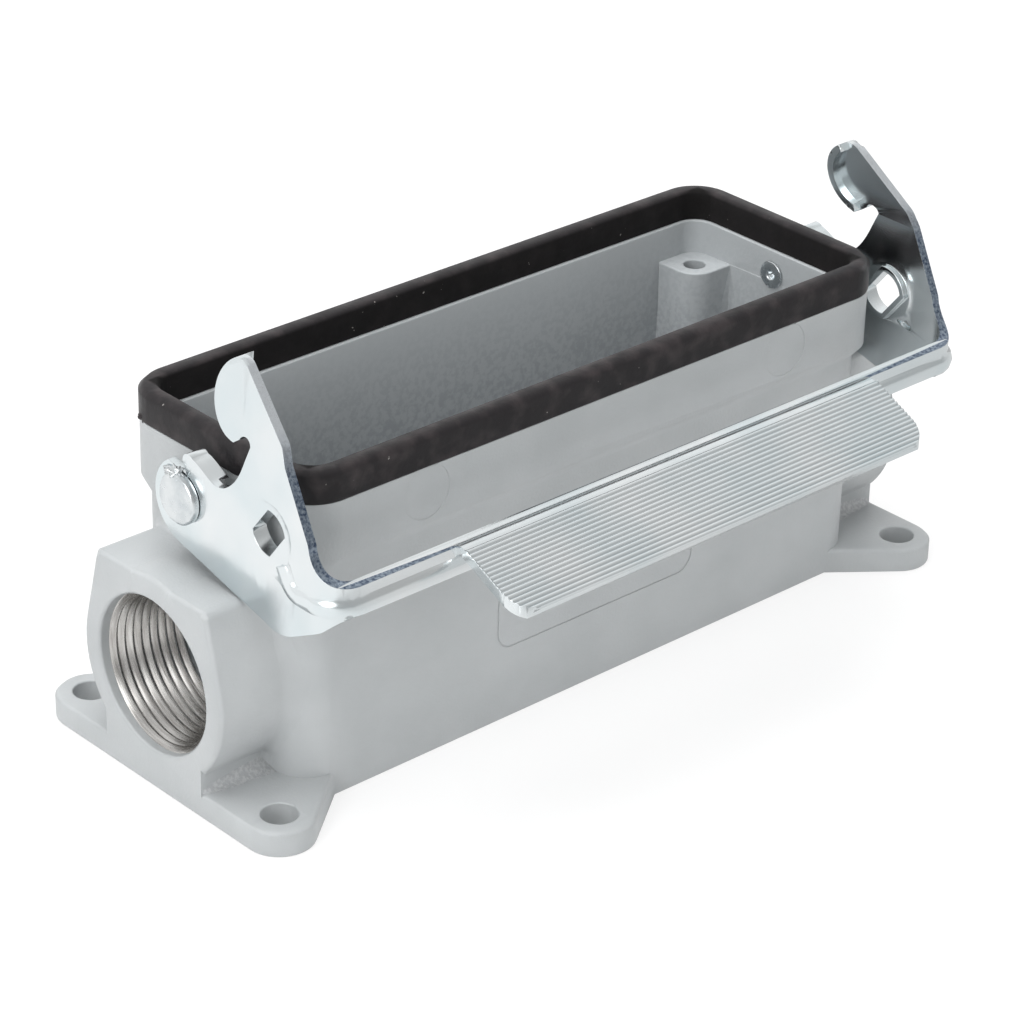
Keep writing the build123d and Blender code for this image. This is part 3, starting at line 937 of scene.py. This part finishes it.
def web_stations(side, hand):
    """The stations of one strip along the foot of a web."""
    y = hand * boss_half_web
    stations = []
    for x, hollow in web_run:
        start = (side * x, y, foot_top + hollow)
        pull = (side * x, y, foot_top)
        stations.append((start, pull, (side * x, hand * (boss_half_web + hollow), foot_top)))
    return stations


for side, end_name in ((-1, "entry"), (1, "far")):
    corner_strip("boss_root_" + end_name, boss_stations(side), casting)
    for hand, hand_name in ((-1, "front"), (1, "rear")):
        name = "web_root_%s_%s" % (end_name, hand_name)
        corner_strip(name, web_stations(side, hand), rough_casting)

# %% [markdown]
# ## Small marks of the making
# The moulded seal keeps a nub where its flash was torn off, and the pin's head
# has a rough crown where it was struck. Both are a small ball that is squashed
# and then crumpled by a fixed noise, so they come out the same each time.

# %% Nub and crown


def crumpled_lump(name, centre, half_sizes, crumple, material, detail=3):
    """A ball squashed to its half sizes in mm; crumple says how rough it gets."""
    mesh = bmesh.new()
    bmesh.ops.create_icosphere(mesh, subdivisions=detail, radius=1.0)
    for vert in mesh.verts:
        out = 1 + crumple * hills.noise(vert.co * 1.9 + Vector(centre))
        out += crumple * 0.5 * hills.noise(vert.co * 4.7)
        vert.co = Vector([c + v * out * h for c, v, h in zip(centre, vert.co, half_sizes)]) * MM
    for face in mesh.faces:
        face.smooth = True
    piece = new_piece(name, mesh, material)
    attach(piece, "housing")
    print(name, "faces", len(piece.data.polygons))


crumpled_lump("seal_flash_nub", (-58.9, 16.6, 50.7), (0.9, 1.3, 0.7), 0.5, rubber)
pin_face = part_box("entry_pivot_pin")[0][0] / MM
crown_centre = (pin_face + 0.9, 0.9, 50.0)
crumpled_lump("pin_crown", crown_centre, (0.95, 1.9, 1.0), 0.9, pin_zinc, detail=4)

# %% [markdown]
# ## Thread of the cable entry
# A metric thread is one V groove wound round the bore. It could be cut with a
# boolean, but it is simpler to wind it: one tooth's outline is spun round the
# axis of the entry and moved on by one pitch a turn, as a lathe does.

# %% Thread
thread_radius = 12.5
thread_pitch = 1.5
thread_depth = 0.87
thread_start = -70.9
thread_turns = 9
steps_per_turn = 72
wall = 0.05

mesh = bmesh.new()
root, crest = thread_radius - wall, thread_radius - thread_depth
profile = (
    (0.0, root), (0.14, root - 0.04), (0.64, crest), (0.86, crest), (1.36, root - 0.04), (1.5, root),
)
points = []
for along, radius in profile:
    points.append(mesh.verts.new(Vector((thread_start + along, 0, entry_height + radius)) * MM))
edges = [mesh.edges.new(pair) for pair in zip(points, points[1:])]
bmesh.ops.spin(
    mesh, geom=points + edges, cent=Vector((0, 0, entry_height)) * MM, axis=(1, 0, 0),
    dvec=(thread_pitch / steps_per_turn * MM, 0, 0), angle=math.tau * thread_turns,
    steps=steps_per_turn * thread_turns, use_merge=False,
)
bmesh.ops.remove_doubles(mesh, verts=mesh.verts, dist=0.00001)
for face in mesh.faces:
    face.smooth = True
bmesh.ops.recalc_face_normals(mesh, faces=mesh.faces)
sample = max(mesh.faces, key=lambda face: face.calc_area())
to_axis = Vector((0, 0, entry_height * MM)) - sample.calc_center_median()
to_axis.x = 0
if sample.normal.dot(to_axis) < 0:
    bmesh.ops.reverse_faces(mesh, faces=mesh.faces)
thread = new_piece("entry_thread", mesh, bare)
sheet = thread.modifiers.new("wall", "SOLIDIFY")
sheet.thickness = 0.04 * MM
sheet.offset = -1
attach(thread, "housing")
print("thread faces", len(thread.data.polygons))

# %% [markdown]
# ## Floor, backdrop and light
# A pale floor under three big soft lamps gives the look of a light tent. The
# camera sees plain white all round. Bright metal shows the studio as a mirror
# does, so what a reflection meets matters: here the backdrop behind the part is
# white, and the room falls off to grey in front, on the floor and in the air.

# %% Floor
mesh = bmesh.new()
bmesh.ops.create_grid(mesh, x_segments=1, y_segments=1, size=4)
paper, tree, shader, place = new_material("paper", (0.9, 0.9, 0.9), 0.9)
path = tree.nodes.new("ShaderNodeLightPath")
glow = tree.nodes.new("ShaderNodeEmission")
glow.inputs["Color"].default_value = (1, 1, 1, 1)
glossy = path.outputs["Is Glossy Ray"]
white_for_camera, white_for_metal = 0.72, 0.85
to_camera = calculate(tree, "MULTIPLY", path.outputs["Is Camera Ray"], white_for_camera)
to_gloss = calculate(tree, "MULTIPLY", glossy, white_for_metal)
seen = calculate(tree, "MAXIMUM", to_camera, to_gloss)
floor_axes = split(tree, place)
to_back = calculate(tree, "SUBTRACT", floor_axes[1], floor_axes[0])
falloff = fit_range(tree, to_back, -0.10, 0.05, 0.62, 1.0)
taken_off = calculate(tree, "MULTIPLY", glossy, calculate(tree, "SUBTRACT", 1.0, falloff))
dimmer = calculate(tree, "SUBTRACT", 1.0, taken_off)
tree.links.new(dimmer, glow.inputs["Strength"])
mix = tree.nodes.new("ShaderNodeMixShader")
tree.links.new(seen, mix.inputs[0])
tree.links.new(shader.outputs[0], mix.inputs[1])
tree.links.new(glow.outputs[0], mix.inputs[2])
tree.links.new(mix.outputs[0], tree.nodes["Material Output"].inputs["Surface"])
floor = new_piece("floor", mesh, paper)
print("floor:", [round(side, 1) for side in floor.dimensions], "m")

# %% [markdown]
# The world is plain white for the camera. For bright metal it is white behind the
# part and grey in front, with one soft glow to the left, where a real studio has
# its lamp. Everything else gets an even, dim light from it.

# %% World
world = bpy.data.worlds.new("studio")
bpy.context.scene.world = world
world.use_nodes = True
tree = world.node_tree
sky = tree.nodes["Background"]
sky.inputs["Color"].default_value = (1, 1, 1, 1)
path = tree.nodes.new("ShaderNodeLightPath")
glossy = path.outputs["Is Glossy Ray"]
way = tree.nodes.new("ShaderNodeTexCoord").outputs["Generated"]
direction = split(tree, way)
shown = calculate(tree, "MAXIMUM", path.outputs["Is Camera Ray"], path.outputs["Is Transmission Ray"])
behind = fit_range(tree, direction[1], -0.72, 0.30, 0.0, 1.0)
behind = calculate(tree, "MULTIPLY", behind, fit_range(tree, direction[2], 0.72, 0.83, 1.0, 0.62))
shown = calculate(tree, "MAXIMUM", shown, calculate(tree, "MULTIPLY", glossy, behind))
lamp_way = Vector((-0.845, -0.296, 0.44)).normalized()
toward = tree.nodes.new("ShaderNodeVectorMath")
toward.operation = "DOT_PRODUCT"
toward.inputs[1].default_value = lamp_way
tree.links.new(way, toward.inputs[0])
glow_spot = fit_range(tree, toward.outputs["Value"], 0.90, 0.985, 0.0, 3.6)
glow_spot = calculate(tree, "MULTIPLY", glow_spot, glossy)
plain = fit_range(tree, shown, 0, 1, 0.48, 1.0)
tree.links.new(calculate(tree, "ADD", plain, glow_spot), sky.inputs["Strength"])

# %% [markdown]
# Three large lamps give the soft light: one above, one to the left and a weak one
# to the front right. A lamp would show in bright metal as a hard edged square, so
# none of them is seen in reflections.

# %% Lamps
aim = Vector((0, 0, 0.03))


def lamp(name, place, size, power):
    """A soft square lamp that faces the part."""
    light = bpy.data.lights.new(name, "AREA")
    light.size = size
    light.energy = power
    made = bpy.data.objects.new(name, light)
    bpy.context.scene.collection.objects.link(made)
    made.location = place
    made.visible_glossy = False
    made.rotation_euler = (Vector(place) - aim).to_track_quat("Z", "Y").to_euler()
    print("lamp", name, power, "W")


lamp("top", (-0.1, 0.15, 1.0), 0.9, 12.5)
lamp("left", (-1.0, -0.35, 0.55), 0.7, 7.5)
lamp("front_right", (0.6, -1.0, 0.45), 0.7, 4.0)

bpy.context.scene.view_settings.view_transform = "Standard"
